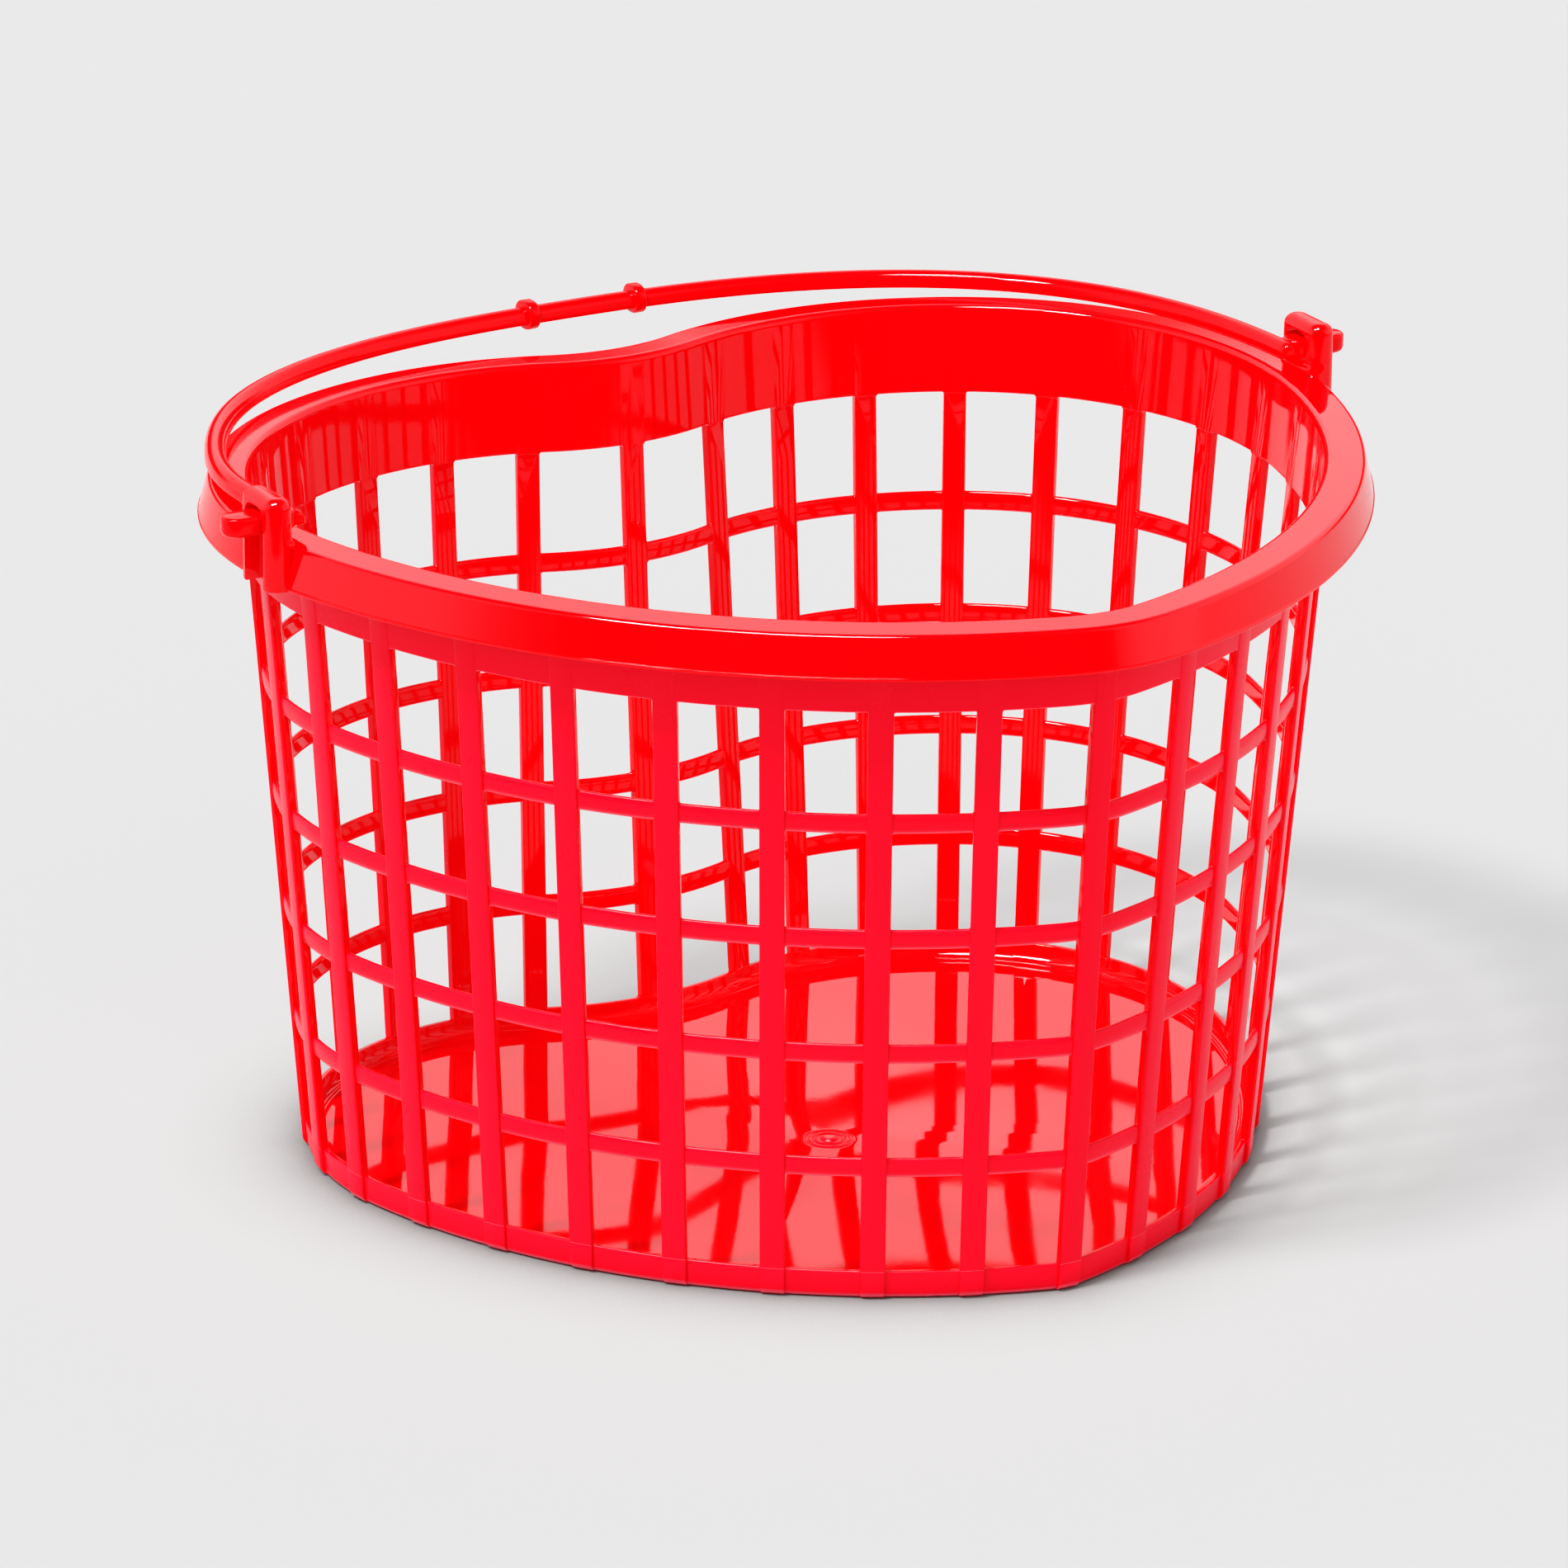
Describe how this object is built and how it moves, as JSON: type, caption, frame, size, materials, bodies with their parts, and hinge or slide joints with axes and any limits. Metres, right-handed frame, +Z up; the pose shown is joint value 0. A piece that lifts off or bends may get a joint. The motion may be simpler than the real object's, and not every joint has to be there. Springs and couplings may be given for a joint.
{
  "type": "heart-shaped lattice basket",
  "caption": "Heart-shaped open lattice basket in glossy red plastic with a bail handle that folds flat on the rim.",
  "frame": {"origin": "on the underside, on the heart's line of symmetry, level with the middle of the sides", "axes": "+Z up out of the basket's mouth, +Y towards the notch of the heart, -Y towards its tip, +X towards the right-hand ear"},
  "size_m": [0.305, 0.2697, 0.1812],
  "materials": {
    "body_red": "injection-moulded polypropylene, high gloss inside and on the rim, slightly softer on the slats",
    "handle_red": "injection-moulded polypropylene, high gloss"
  },
  "bodies": {
    "basket": {"basket_body": "body_red"},
    "handle": {"bail_handle": "handle_red"}
  },
  "joints": [
    {"name": "handle_swing", "type": "hinge", "parent": "basket", "child": "handle", "pos_m": [0, 0.0006, 0.1744], "axis": [1, 0, 0], "range_deg": [0, 180]}
  ]
}
